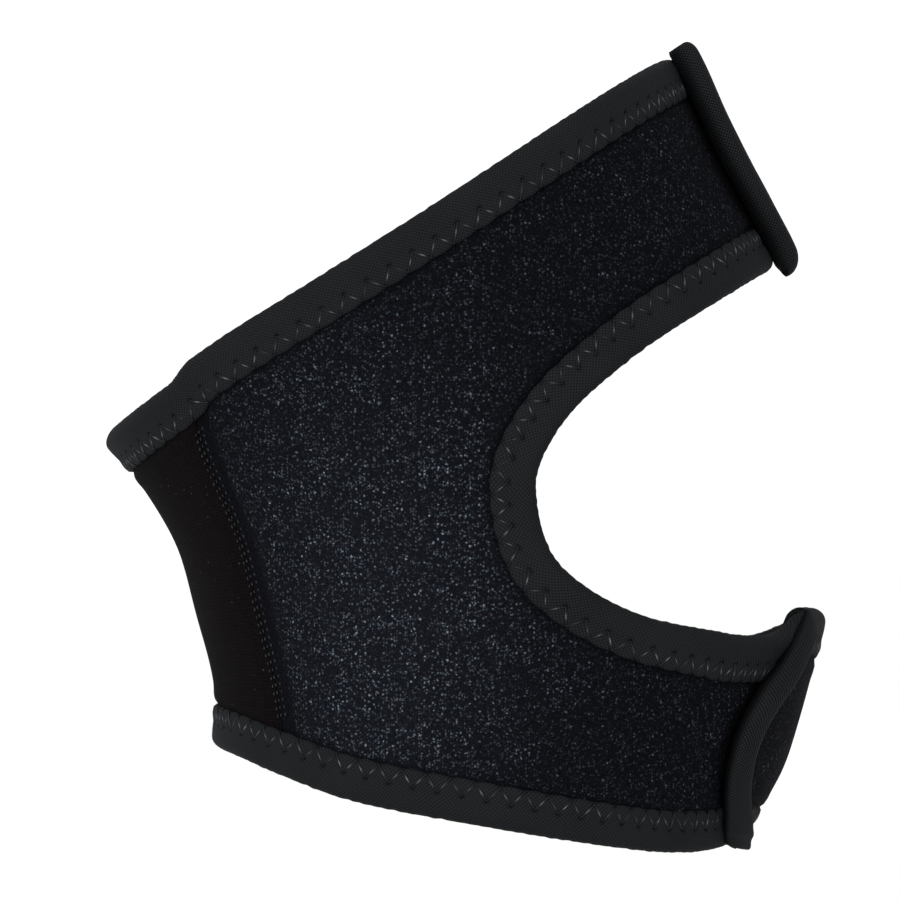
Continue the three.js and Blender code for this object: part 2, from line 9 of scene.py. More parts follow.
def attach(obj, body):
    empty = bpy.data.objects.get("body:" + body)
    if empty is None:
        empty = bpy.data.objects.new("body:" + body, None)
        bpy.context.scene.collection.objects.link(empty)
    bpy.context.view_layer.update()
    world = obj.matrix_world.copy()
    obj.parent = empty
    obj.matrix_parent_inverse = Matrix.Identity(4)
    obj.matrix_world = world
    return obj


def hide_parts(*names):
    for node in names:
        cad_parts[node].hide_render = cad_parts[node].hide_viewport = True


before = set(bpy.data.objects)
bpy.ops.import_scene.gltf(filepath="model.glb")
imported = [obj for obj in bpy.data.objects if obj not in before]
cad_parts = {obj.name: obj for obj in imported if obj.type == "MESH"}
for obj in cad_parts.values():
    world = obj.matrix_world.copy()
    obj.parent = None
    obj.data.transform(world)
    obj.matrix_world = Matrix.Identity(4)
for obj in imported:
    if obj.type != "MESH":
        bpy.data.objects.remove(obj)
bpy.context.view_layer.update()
scene = bpy.context.scene
mm = 0.001
print("frame loaded")

# the leg under the cloth, as the model has it
leg = {
    "depth": 118,  # front to back at the knee
    "width": 112,  # side to side
    "bendRadius": 138,  # from the centre of the bend to the middle of the leg
    "bendTilt": 11,  # degrees, of the middle section
    "flexion": 46,  # degrees, between the two ends
    "fullness": 0.03,  # how far a section stands out of an ellipse
}
legRise = leg["bendRadius"] * math.radians(leg["flexion"])
frontScale = 1 + leg["depth"] / 2 / leg["bendRadius"]
backScale = 1 - leg["depth"] / 2 / leg["bendRadius"]

# the first row of each table is its key
legSections = {
    "up": [0, 0.07, 0.15, 0.37, 0.59, 0.8, 1],
    "back": [0.444, 0.45, 0.457, 0.486, 0.498, 0.516, 0.532],
    "front": [0.362, 0.394, 0.425, 0.482, 0.501, 0.511, 0.515],
    "side": [0.44, 0.45, 0.46, 0.485, 0.5, 0.515, 0.53],
}
topEdge = {
    "angle": [0, 40, 80, 105, 125, 150, 180],
    "rise": [-0.005, 0, 0.003, 0.013, 0.026, 0.024, 0.015],
}
bottomEdge = {
    "angle": [0, 14, 23, 31, 38, 50, 90, 118, 136, 155, 180],
    "rise": [0.023, 0.027, 0.023, 0.0125, 0.005, -0.004, -0.022, -0.032, -0.016, 0.004, 0.012],
}
backSeam = {"up": [0, 0.2, 0.5, 0.8, 1], "angle": [136, 140.3, 142, 140.5, 133.5]}
# how the lower edge digs in at the front: degrees from the front, and millimetres up from the edge
dugIn = {"deep": 1.5, "middle": -2, "from": 7, "to": 22, "up": 20}


def smooth(table, column, at):
    keys = np.array(table[next(iter(table))], float)
    values = np.array(table[column], float)
    at = np.asarray(at, float)
    slopes = np.gradient(values, keys, edge_order=1)
    slopes[1:-1] = (values[2:] - values[:-2]) / (keys[2:] - keys[:-2])
    row = np.clip(np.searchsorted(keys, at) - 1, 0, len(keys) - 2)
    span = keys[row + 1] - keys[row]
    past = (at - keys[row]) / span
    t = np.clip(past, 0, 1)
    value = values[row] + (values[row + 1] - values[row]) * t * t * (3 - 2 * t)
    value = value + span * t * (1 - t) * ((1 - t) * slopes[row] - t * slopes[row + 1])
    return value + span * (np.minimum(past, 0) * slopes[row] + np.maximum(past - 1, 0) * slopes[row + 1])


def ease(at, low, high):
    t = np.clip((np.asarray(at, float) - low) / (high - low), 0, 1)
    return t * t * (3 - 2 * t)


def mix(low, high, share):
    return low + (high - low) * share


def lengthOf(vectors):
    return np.linalg.norm(vectors, axis=-1)


# a place on the leg: degrees from the front, positive on the near side, and millimetres up the middle line
def legPoint(angle, height):
    angle, height = np.broadcast_arrays(np.asarray(angle, float), np.asarray(height, float))
    up = height / legRise
    turn = np.radians(angle)
    tilt = np.radians(leg["bendTilt"] + leg["flexion"] * (up - 0.5))
    still = math.radians(leg["bendTilt"])
    fullness = 1 + leg["fullness"] * np.sin(2 * turn) ** 2
    back, front = (smooth(legSections, end, up) * leg["depth"] for end in ("back", "front"))
    side = smooth(legSections, "side", up) * leg["width"]
    radius = leg["bendRadius"] + (front - back) / 2 + (front + back) / 2 * np.cos(turn) * fullness
    dent = dugIn["deep"] * (1 - ease(turnFromFront(angle - dugIn["middle"]), dugIn["from"], dugIn["to"]))
    radius = radius - dent * (1 - ease(height * frontScale, 0, dugIn["up"]))
    return np.stack([
        radius * np.cos(tilt) - leg["bendRadius"] * math.cos(still),
        -side * np.sin(turn) * fullness,
        radius * np.sin(tilt) - leg["bendRadius"] * math.sin(still),
    ], -1)


def legFrame(angle, height):
    step = 0.05
    around = (legPoint(angle + step, height) - legPoint(angle - step, height)) / (2 * step)
    up = (legPoint(angle, height + step) - legPoint(angle, height - step)) / (2 * step)
    out = np.cross(up, around)
    return around, up, out / lengthOf(out)[..., None]


def onLeg(angle, height, lift):
    angle, height, lift = np.broadcast_arrays(*(np.asarray(a, float) for a in (angle, height, lift)))
    return legPoint(angle, height) + legFrame(angle, height)[2] * lift[..., None]


def turnFromFront(angle):
    return np.abs((np.asarray(angle, float) + 180) % 360 - 180)


# the cut edges and seams
cut = {
    "upperStrap": 41.5,  # width at the front
    "lowerStrap": 40.7,
    "openingReach": 85,  # degrees from the front to the far end of the opening
    "seamPeak": 5.3,  # rise of the lower strap's edge at its front seam
    "seamInset": 1.1,  # from the bottom edge to the low end of that seam
    "backDrop": 1.3,  # the back panel's top edge below the side panels'
    "leftEase": 1.3,  # the far side of the opening is this much larger
    "stepBefore": 3.2, "stepAfter": 4.8,  # degrees from the back seam in which the top edge drops
    "pastSeam": 18,  # degrees that the opening's curve runs on past the front seams
    "armRoot": 60,  # degrees where the arms start to lean to their seams
}
foam = {"thickness": 3, "boundTop": 2.4, "boundUnder": 0.3, "lip": 1.6}
tape = {"thickness": 0.8, "width": 7.4, "gap": 0.3}
seamHalfWidth = tape["gap"] / 2 + foam["lip"] + tape["gap"] + tape["thickness"]

upperSeam = {
    "along": [0, 0.25, 0.5, 0.75, 1],
    "angle": [9, 14, 16.3, 14, 8.5],
    "flare": [0.05, 0, -0.04, 0, 0.1],
}
lowerSeam = {
    "along": [0, 0.1, 0.22, 0.36, 0.5, 0.65, 0.8, 1],
    "angle": [23, 29.5, 35.2, 38.4, 38.6, 36, 30.3, 23],
    "flare": [-0.1, 0, 0, 0.1, 0.25, 0.36, 0.2, -0.25],
}
openingSide = {
    "round": [0.457, 0.6, 0.74, 0.83, 0.9, 0.955, 0.988, 1, 0.99, 0.945, 0.87, 0.765, 0.635, 0.445, 0.22],
    "height": [0, 0.02, 0.058, 0.108, 0.172, 0.25, 0.34, 0.46, 0.6, 0.71, 0.805, 0.876, 0.93, 0.97, 0.993],
}
# the rise of the opening's edge to the lower seam, as shares of the seam's peak: on the near side by degrees
# beside the seam, and on the far side by the angle
seamPeakSide = {
    "beside": [0, 1, 2.2, 3.8, 6.2, 9.5, 14],
    "rise": [1.14, 0.84, 0.5, 0.24, 0.08, 0.015, 0],
}
farRise = {"angle": [40, 20, 0, -20], "rise": [1, 0.95, 0.8, 0.4]}
# how the cloth turns up beside the lower seam, near its high end, in millimetres
turnedUp = {
    "lift": 1.5, "reach": 6,
    "steeper": 5,  # times, on the far side
    "from": 9, "to": 1,  # below the seam's high end
    "clear": 20,  # of the upper strap's edge
}


def backSeamAngle(height):
    return smooth(backSeam, "angle", np.asarray(height) / legRise)


def topHeight(angle):
    turn = turnFromFront(angle)
    corner = backSeamAngle(legRise)
    drop = cut["backDrop"] / backScale * ease(turn, corner - cut["stepBefore"], corner + cut["stepAfter"])
    return legRise * (1 + smooth(topEdge, "rise", turn)) - drop


def bottomHeight(angle):
    return legRise * smooth(bottomEdge, "rise", turnFromFront(angle))


# the low and the high end of each bound seam's tape: how far it runs past the seam, over how much of it the
# lips' height falls off, the share of that height left at the very end, and the share of the loss by which
# the tape's foot rises there
upperSeamEnds = [(3.4, 4.6, 0.15, 0.3), (1.7, 2.8, 0.62, 0)]
lowerSeamEnds = [(0.9, 2.2, 0.75, 0), (1.2, 4.8, 0.2, 0)]
openingBottom = bottomHeight(0) + cut["lowerStrap"] / frontScale
openingTop = topHeight(0) - cut["upperStrap"] / frontScale
peakRise = cut["seamPeak"] / frontScale
frontSeams = {
    "upper": {
        "table": upperSeam, "low": openingTop, "high": topHeight(upperSeam["angle"][-1]),
        "peak": 0, "lipHeight": 4.1, "ends": upperSeamEnds,
    },
    "lower": {
        "table": lowerSeam, "low": bottomHeight(lowerSeam["angle"][0]) + cut["seamInset"] / frontScale,
        "high": openingBottom + peakRise, "peak": peakRise, "lipHeight": 2.3, "ends": lowerSeamEnds,
    },
}


def seamValue(seam, column, height):
    return smooth(seam["table"], column, (np.asarray(height) - seam["low"]) / (seam["high"] - seam["low"]))


def lipTop(seam, height):
    share = 1
    for within, (past, rounding, left, _) in zip((height - seam["low"], seam["high"] - height), seam["ends"]):
        short = np.clip(1 - (within * frontScale + past) / rounding, 0, 1)
        share = np.minimum(share, mix(left, 1, np.sqrt(1 - short ** 2)))
    return foam["thickness"] + seam["lipHeight"] * (1 + seamValue(seam, "flare", height)) * share


# the angle at a square distance from a front seam
def besideSeam(seam, height, distance):
    middle = seamValue(seam, "angle", height)
    around, up, _ = legFrame(middle, height)
    slope = seamValue(seam, "angle", height + 0.5) - seamValue(seam, "angle", height - 0.5)
    lean = slope * lengthOf(around) / lengthOf(up)
    return middle + distance * np.hypot(1, lean) / lengthOf(around)


# from 0 at a front seam, where the edges' tapes lean with it, to 1 at the root of its arm
def strapShare(seam, side, angle, height):
    start = seamValue(seam, "angle", height)
    return np.clip((angle - start) / (side * cut["armRoot"] - start), 0, 1)


# one side of the kneecap opening as a dense row of angles and heights
def openingCurve(side):
    more = 0 if side > 0 else cut["leftEase"]
    low, high = openingBottom - more / frontScale, openingTop + more / frontScale
    around = legFrame(cut["openingReach"], legRise / 2)[0]
    reach = cut["openingReach"] + more / lengthOf(around)
    past = cut["pastSeam"] * side
    sides = zip(openingSide["round"], openingSide["height"])
    toSeam = [(lowerSeam["angle"][-1] - past, openingBottom)]
    if side < 0:
        toSeam = [(angle, openingBottom + rise * peakRise) for angle, rise in zip(*farRise.values())]
    corners = np.array([
        *toSeam,
        *((side * share * reach, mix(low, high, up)) for share, up in sides),
        (upperSeam["angle"][0] - past, openingTop),
    ])
    before, after = np.vstack([corners[:1], corners]), np.vstack([corners, corners[-1:]])
    t = np.linspace(0, 1, 40, endpoint=False)[:, None]
    spans = []
    for a, b, c, d in zip(before[:-2], corners[:-1], corners[1:], after[2:]):
        leave, arrive = (c - a) / 2, (d - b) / 2
        spans.append(b + leave * t + (3 * (c - b) - 2 * leave - arrive) * t ** 2
                     + (2 * (b - c) + leave + arrive) * t ** 3)
    return np.vstack(spans + [corners[-1:]])


openings = {1: openingCurve(1), -1: openingCurve(-1)}


def peakHeight(angle):
    beside = np.asarray(angle) - seamValue(frontSeams["lower"], "angle", openingBottom)
    beside = np.clip(beside, 0, seamPeakSide["beside"][-1])
    return smooth(seamPeakSide, "rise", beside) * peakRise


def turnUp(angle, height):
    look, seam = turnedUp, frontSeams["lower"]
    beside = (angle - seamValue(seam, "angle", height)) * lengthOf(legFrame(angle, height)[0])
    near = 1 - ease(np.where(beside > 0, beside, -look["steeper"] * beside), 0, look["reach"])
    high = ease((height - seam["high"]) * frontScale, -look["from"], -look["to"])
    return look["lift"] * near * high * (height < openingTop - look["clear"])


# meshes
def meshObject(name, points, faces, uv=None, attributes=None):
    mesh = bpy.data.meshes.new(name)
    mesh.from_pydata((np.asarray(points) * mm).tolist(), [], [tuple(f) for f in faces])
    if uv is not None:
        layer = mesh.uv_layers.new(name="cloth")
        corners = np.empty(len(mesh.loops), np.int32)
        mesh.loops.foreach_get("vertex_index", corners)
        layer.data.foreach_set("uv", (np.asarray(uv)[corners] * mm).astype(np.float32).ravel())
    for key, values in (attributes or {}).items():
        kind, field = ("FLOAT_VECTOR", "vector") if np.ndim(values) == 2 else ("FLOAT", "value")
        layer = mesh.attributes.new(key, kind, "POINT")
        layer.data.foreach_set(field, np.ravel(values).astype(np.float32))
    mesh.polygons.foreach_set("use_smooth", np.ones(len(mesh.polygons), bool))
    made = bpy.data.objects.new(name, mesh)
    scene.collection.objects.link(made)
    return made


def gridFaces(rows, columns, start=0, keep=None, flip=False, loop=False):
    i, j = np.meshgrid(np.arange(rows - 1), np.arange(columns if loop else columns - 1), indexing="ij")
    row, above, after = i * columns, (i + 1) * columns, (j + 1) % columns
    faces = np.stack([row + j, above + j, above + after, row + after], -1)
    faces = faces.reshape(-1, 4) if keep is None else faces[keep]
    return start + (faces[:, ::-1] if flip else faces)


# two grids of points with the cells that are kept, closed all round their edge
def shell(name, outer, inner, keep, uv, attributes=None):
    rows, columns = outer.shape[:2]
    count = rows * columns
    i, j = np.argwhere(keep)[len(np.argwhere(keep)) // 2]
    across = np.cross(outer[i + 1, j] - outer[i, j], outer[i, j + 1] - outer[i, j])
    flip = across @ (outer[i, j] - inner[i, j]) < 0
    top = gridFaces(rows, columns, 0, keep, flip)
    under = gridFaces(rows, columns, count, keep, not flip)
    sides = {}
    for a, b, c, d in top.tolist():
        for edge in ((a, b), (b, c), (c, d), (d, a)):
            if edge[::-1] in sides:
                del sides[edge[::-1]]
            else:
                sides[edge] = (edge[1], edge[0], edge[0] + count, edge[1] + count)
    faces = np.vstack([top, under, np.array(list(sides.values()))])
    used, index = np.unique(faces, return_inverse=True)
    points = np.concatenate([outer.reshape(-1, 3), inner.reshape(-1, 3)])[used]
    both = {key: np.tile(values.ravel(), 2)[used] for key, values in (attributes or {}).items()}
    flatPlaces = np.tile(uv.reshape(-1, 2), (2, 1))[used]
    return meshObject(name, points, index.reshape(faces.shape), flatPlaces, both)


def inside(points, corners):
    x, y = points[..., 0], points[..., 1]
    found = np.zeros(x.shape, bool)
    for (ax, ay), (bx, by) in zip(corners, np.roll(corners, -1, 0)):
        if ay != by:
            found ^= ((ay > y) != (by > y)) & (x < ax + (y - ay) * (bx - ax) / (by - ay))
    return found


def nearest(points, line):
    tree = kdtree.KDTree(len(line))
    for i, point in enumerate(line):
        tree.insert(point, i)
    tree.balance()
    flat = points.reshape(-1, 3)
    return np.array([tree.find(p)[2] for p in flat]).reshape(points.shape[:-1])


# how far along a row of points each of them lies
def runAlong(points):
    return np.concatenate([[0], np.cumsum(lengthOf(np.diff(points, axis=0)))])


# a slow unevenness over places in millimetres
def waver(points, size, seed):
    flat = points.reshape(-1, 3) / size + seed
    return np.array([noise.noise(Vector(p)) for p in flat]).reshape(points.shape[:-1])


# camera and studio
studio = {
    "mmPerPixel": 0.19, "pixels": 900,  # at the middle of the leg
    "distance": 2500,
    "centre": (-10.07, 12.2),  # X and Z at the middle of the picture
    "floorBelow": 260, "floorRadius": 30000,
    "paper": (0.93, 0.93, 0.925),
    "sky": (1, 1, 1), "skyStrength": 1.08,
    "keyPower": 22, "keyFrom": (-900, -1500, 700), "keySize": 700,
    "fillPower": 6, "fillFrom": (1300, -1400, 300), "fillSize": 900,
}


def makeStudio():
    lens = bpy.data.cameras.new("camera")
    lens.lens = lens.sensor_width * studio["distance"] / (studio["pixels"] * studio["mmPerPixel"])
    lens.clip_start, lens.clip_end = 0.1, 60
    camera = bpy.data.objects.new("camera", lens)
    scene.collection.objects.link(camera)
    x, z = studio["centre"]
    camera.location = Vector((x, -studio["distance"], z)) * mm
    camera.rotation_euler = (math.pi / 2, 0, 0)
    scene.camera = camera
    for name in ("key", "fill"):
        light = bpy.data.lights.new(name, "AREA")
        light.energy = studio[name + "Power"]
        light.shape = "DISK"
        light.size = studio[name + "Size"] * mm
        lamp = bpy.data.objects.new(name, light)
        scene.collection.objects.link(lamp)
        lamp.location = Vector(studio[name + "From"]) * mm
        lamp.rotation_euler = (-lamp.location).to_track_quat("-Z", "Y").to_euler()
    scene.world = bpy.data.worlds.new("studio")
    scene.world.use_nodes = True
    sky = scene.world.node_tree.nodes["Background"]
    sky.inputs["Color"].default_value = (*studio["sky"], 1)
    sky.inputs["Strength"].default_value = studio["skyStrength"]
    scene.view_settings.view_transform = "Standard"
    turns = np.linspace(0, 2 * math.pi, 64, endpoint=False)
    rim = np.stack([np.cos(turns), np.sin(turns), 0 * turns], -1) * studio["floorRadius"]
    floor = meshObject("floor", rim - (0, 0, studio["floorBelow"]), [range(64)])
    paper = Finish("paper", studio["paper"], {"Roughness": 0.9, "Specular IOR Level": 0.1})
    floor.data.materials.append(paper.material)
    print("studio ready")


# shader writing
class Socket:
    # one output of a node, on which ordinary maths adds Math nodes
    def __init__(self, finish, output):
        self.finish, self.output = finish, output

    def other(self, name):
        return Socket(self.finish, self.output.node.outputs[name])

    def maths(self, operation, *values):
        return self.finish.node("ShaderNodeMath", {"operation": operation}, dict(enumerate(values)))

    def __add__(self, value):
        return self.maths("ADD", self, value)

    def __sub__(self, value):
        return self.maths("SUBTRACT", self, value)

    def __rsub__(self, value):
        return self.maths("SUBTRACT", value, self)

    def __mul__(self, value):
        return self.maths("MULTIPLY", self, value)

    def __truediv__(self, value):
        return self.maths("DIVIDE", self, value)

    def __pow__(self, value):
        return self.maths("POWER", self, value)

    __radd__, __rmul__ = __add__, __mul__

    def wave(self):
        return self.maths("SINE", self) * 0.5 + 0.5

    def clamped(self):
        return self.maths("MINIMUM", self.maths("MAXIMUM", self, 0), 1)

    def between(self, low, high):
        return ((self - low) / (high - low)).clamped()


class Graph:
    # the method that adds any other node to a tree
    def node(self, kind, settings=None, sockets=None, output=0):
        made = self.tree.nodes.new(kind)
        for key, value in (settings or {}).items():
            if key == "stops":
                while len(made.color_ramp.elements) < len(value):
                    made.color_ramp.elements.new(1)
                for stop, (place, colour) in zip(made.color_ramp.elements, value):
                    stop.position, stop.color = place, (*colour, 1)
            else:
                setattr(made, key, value)
        for key, value in (sockets or {}).items():
            if isinstance(value, Socket):
                self.tree.links.new(value.output, made.inputs[key])
            else:
                made.inputs[key].default_value = value
        return None if output is None else Socket(self, made.outputs[output])


class Finish(Graph):
    # a material with its Principled shader
    def __init__(self, name, colour, constants):
        self.material = bpy.data.materials.new(name)
        self.material.use_nodes = True
        self.material.diffuse_color = (*colour, 1)
        self.tree = self.material.node_tree
        self.shader = self.tree.nodes["Principled BSDF"]
        self.shader.inputs["Base Color"].default_value = (*colour, 1)
        for key, value in constants.items():
            self.shader.inputs[key].default_value = value

    def into(self, name, value):
        self.tree.links.new(value.output, self.shader.inputs[name])

    def attribute(self, name):
        return self.node("ShaderNodeAttribute", {"attribute_name": name}, None, "Fac")

    def scaled(self, vector, scale):
        return self.node("ShaderNodeVectorMath", {"operation": "SCALE"}, {0: vector, "Scale": scale})

    def placeMm(self):
        return self.scaled(self.node("ShaderNodeTexCoord", output="Object"), 1 / mm)

    def clothMm(self):
        place = self.scaled(self.node("ShaderNodeUVMap", {"uv_map": "cloth"}), 1 / mm)
        x = self.node("ShaderNodeSeparateXYZ", None, {0: place})
        return x, x.other("Y")

    def noise(self, place, scale, detail=2, rough=0.5):
        return self.node("ShaderNodeTexNoise", None,
                         {"Vector": place, "Scale": scale, "Detail": detail, "Roughness": rough}, "Fac")

    # a place pushed about by noise, so that round spots come out ragged
    def teased(self, place, size, reach):
        sockets = {"Vector": place, "Scale": 1 / size, "Detail": 1}
        push = self.scaled(self.node("ShaderNodeTexNoise", None, sockets, "Color"), reach)
        return self.node("ShaderNodeVectorMath", {"operation": "ADD"}, {0: place, 1: push})

    def blend(self, share, first, second, kind="MIX"):
        first, second = ((*c, 1) if isinstance(c, tuple) else c for c in (first, second))
        return self.node("ShaderNodeMix", {"data_type": "RGBA", "blend_type": kind},
                         {0: share, 6: first, 7: second}, 2)

    def bump(self, height, distance, strength=1):
        # distance in millimetres for a height of 1
        made = self.node("ShaderNodeBump", None,
                         {"Height": height, "Distance": distance * mm, "Strength": strength}, "Normal")
        self.into("Normal", made)


# small painted glints of the cloth's loops: a spot round each point of a cell pattern, lit on a share of the
# cells
def flecks(finish, place, spacing, radius, share):
    cell = finish.node("ShaderNodeTexVoronoi", None, {"Vector": place, "Scale": 1 / spacing}, "Distance")
    pick = finish.node("ShaderNodeSeparateColor", None, {0: cell.other("Color")})
    spot = 1 - (cell * spacing).between(radius * 0.4, radius)
    lit = pick.between(1 - share, 1 - share * 0.25)
    return spot * lit, pick.other("Green")


# darker and lighter shades of a colour
def shades(colour, *factors):
    return [tuple(c * factor for c in colour) for factor in factors]


loopPile = {
    "ground": (0.0030, 0.0032, 0.0046),
    "glintFleck": (0.105, 0.155, 0.195),
    "warmGlintFleck": (0.13, 0.13, 0.155),
    "groundSize": 0.3,  # mm, of the loops in the ground
    "patchSize": 7,
    "teased": (0.35, 0.55),  # size and reach of what pushes the flecks about
    "fine": (0.5, 0.24, 0.6),  # spacing, radius and share of the fine flecks
    "coarse": (0.85, 0.25, 0.42),
    "bump": 0.1,
}


def loopFinish():
    look = loopPile
    made = Finish("loopPile", look["ground"], {"Roughness": 0.95, "Specular IOR Level": 0.02})
    place = made.placeMm()
    loops = made.noise(place, 1 / look["groundSize"], 3, 0.65)
    patches = made.noise(place, 1 / look["patchSize"], 3, 0.6)
    teased = made.teased(place, *look["teased"])
    fine, tint = flecks(made, teased, *look["fine"])
    bright, _ = flecks(made, teased, *look["coarse"])
    # painted shade darkens the ground and the flecks beside the fins, a painted sheen lightens both over a
    # broad patch, and the ground gets painted shade beside the tapes, where the flecks also thin out on the
    # pressed pile
    crease = made.attribute("crease")
    pile = made.attribute("pile")
    raised = made.attribute("raised")
    lively = (patches.between(0.25, 0.7) + 0.35) * (raised * 1.05 + 0.4) * pile * (1 - crease * 0.85)
    lit = ((fine * 0.3 + bright * 0.8) * lively).clamped()
    tone = (loops.between(0.3, 0.75) * 1.7 + 0.25) * (raised * 0.75 + 0.7) * (pile * 0.35 + 0.65)
    tone = tone * (1 - crease * 0.8)
    ground = made.scaled(look["ground"], tone)
    glintFleck = made.blend(tint, look["glintFleck"], look["warmGlintFleck"])
    made.into("Base Color", made.blend(lit, ground, glintFleck))
    made.into("Roughness", 0.95 - lit * 0.3)
    made.bump(loops * 0.7 + lit * 0.8, look["bump"])
    return made.material


backKnit = {
    "ground": (0.0027, 0.0022, 0.0024),
    "glintFleck": (0.06, 0.055, 0.05),
    "course": 0.62,  # mm between courses of the knit
    "wale": 0.5,
    "loopSize": 0.5, "wanderSize": 3,
    "spots": (1.5, 0.26, 0.22),  # spacing, radius and share
    "bump": 0.05,
}


def backFinish():
    look = backKnit
    made = Finish("backKnit", look["ground"], {"Roughness": 0.95, "Specular IOR Level": 0.02})
    place = made.placeMm()
    x, y = made.clothMm()
    loops = made.noise(place, 1 / look["loopSize"], 3, 0.6).between(0.3, 0.7)
    wander = made.noise(place, 1 / look["wanderSize"], 2) * 1.2
    course = ((y + wander * 0.25) * (2 * math.pi / look["course"])).wave()
    wale = ((x + wander * 0.2) * (2 * math.pi / look["wale"])).wave()
    knit = course * wale
    # faint painted glints of the knit's loops
    spots, _ = flecks(made, place, *look["spots"])
    ground = made.blend(knit * 0.4 + loops * 0.6, *shades(look["ground"], 0.45, 1.9))
    made.into("Base Color", made.blend((spots * 0.5).clamped(), ground, look["glintFleck"]))
    made.bump(knit + loops * 0.8 + spots, look["bump"])
    return made.material


tapeWeave = {
    "ground": (0.0078, 0.0086, 0.0096),
    "yarn": 0.52,  # mm between the slanting rows of the weave
    "fuzzSize": 0.3, "wanderSize": 4, "patchSize": 12,
    "bump": 0.06,
}


def tapeFinish():
    look = tapeWeave
    made = Finish("tapeWeave", look["ground"], {"Roughness": 0.9, "Specular IOR Level": 0.03})
    place = made.placeMm()
    x, y = made.clothMm()
    wander = made.noise(place, 1 / look["wanderSize"], 2) * 0.5
    turn = 2 * math.pi / look["yarn"] * math.sqrt(0.5)
    rising = ((x + y + wander) * turn).wave()
    falling = ((x - y + wander) * turn).wave()
    weave = rising * falling
    fuzz = made.noise(place, 1 / look["fuzzSize"], 3, 0.6)
    patches = made.noise(place, 1 / look["patchSize"], 2)
    crease = made.attribute("crease")
    taut = made.attribute("taut")
    tone = (weave - 0.25) * (taut * 0.9 + 0.65) + fuzz * 0.3 + patches * 0.2 + 0.16
    colour = made.blend(tone.clamped(), *shades(look["ground"], 0.3, 1.9))
    # painted shade at the needle holes and along the fins' feet
    made.into("Base Color", made.scaled(colour, 1 - crease * 0.85))
    made.into("Roughness", 0.86 - weave * 0.16)
    made.bump(weave + fuzz * 0.5, look["bump"])
    return made.material


threads = {
    "dark": (0.006, 0.0068, 0.0075),
    "darkGlint": (0.085, 0.1, 0.11),
    "seam": (0.009, 0.0095, 0.011),
    "seamGlint": (0.035, 0.038, 0.043),
    "patchSize": 2.3, "fibreSize": 0.12,  # mm
}


# a thread that catches the light where it stands proud of the cloth
def threadFinish(name, colour, glint):
    made = Finish(name, colour, {"Roughness": 0.5, "Specular IOR Level": 0.1})
    place = made.placeMm()
    proud = made.attribute("proud")
    uneven = made.noise(place, 1 / threads["patchSize"], 2).between(0.38, 0.7)
    lit = proud.between(0.55, 0.95) * (uneven * 0.9 + 0.1)
    made.into("Base Color", made.blend(lit, colour, glint))
    made.bump(made.noise(place, 1 / threads["fibreSize"], 2, 0.6), 0.02)
    return made.material


makeStudio()
finishes = {
    "loop": loopFinish(), "back": backFinish(), "tape": tapeFinish(),
    "thread": threadFinish("bindingThread", threads["dark"], threads["darkGlint"]),
    "seamThread": threadFinish("seamThread", threads["seam"], threads["seamGlint"]),
}
print("finishes ready")


# the folded tapes
# the cut edge that a tape folds over, in even steps, with what carries a point of the tape off it
def tapePath(angle, height, peak, inwardSide, ends, step=0.4):
    edge = legPoint(angle, height + peak)
    run = runAlong(edge)
    along = np.linspace(0, run[-1], int(run[-1] / step) + 1)
    angle, height, peak = (np.interp(along, run, values) for values in (angle, height, peak))
    around, up, out = legFrame(angle, height)
    tangent = around * np.gradient(angle)[:, None] + up * np.gradient(height)[:, None]
    inward = np.cross(out, tangent) * inwardSide
    inward /= lengthOf(inward)[:, None]
    crossing = (around * up).sum(-1)
    aroundSq, upSq = (around ** 2).sum(-1), (up ** 2).sum(-1)
    toRound, toUp = (inward * around).sum(-1), (inward * up).sum(-1)
    scale = aroundSq * upSq - crossing ** 2
    half = along < along[-1] / 2
    shares = [strapShare(seam, side, angle - turn, height) for seam, side, turn in ends]
    return {
        "along": along, "angle": angle, "height": height, "peak": peak,
        "stepRound": (toRound * upSq - toUp * crossing) / scale,
        "stepUp": (toUp * aroundSq - toRound * crossing) / scale,
        "share": np.where(half, *shares), "ends": ends,
    }


def onTape(path, along, inward, lift):
    along, inward, lift = np.broadcast_arrays(*(np.asarray(a, float) for a in (along, inward, lift)))
    names = ("angle", "height", "peak", "stepRound", "stepUp", "share")
    angle, height, peak, stepRound, stepUp, share = (np.interp(along, path["along"], path[n]) for n in names)
    there = height + stepUp * inward + peak * np.minimum(1, 1 - inward / tape["width"])
    seams = [seam for seam, _, _ in path["ends"]]
    leans = [seamValue(seam, "angle", there) - seamValue(seam, "angle", height) for seam in seams]
    lean = np.where(along < path["along"][-1] / 2, *leans)
    angle = angle + mix(lean, stepRound * inward, share)
    return onLeg(angle, there, lift + turnUp(angle, there))


# mm from a front seam to the ends of the tapes under its binding
tuck = {"edge": 1.4, "opening": 0.3}


def roundLegPath(edgeHeight, seam, inwardSide):
    ends = []
    for side in (1, -1):
        angle = 0.0
        for _ in range(6):
            angle = float(besideSeam(seam, edgeHeight(angle), side * tuck["edge"]))
        ends.append(angle)
    angle = np.linspace(ends[0], ends[1] + 360, 1500)
    return tapePath(angle, edgeHeight(angle), 0 * angle, inwardSide, [(seam, 1, 0), (seam, -1, 360)])


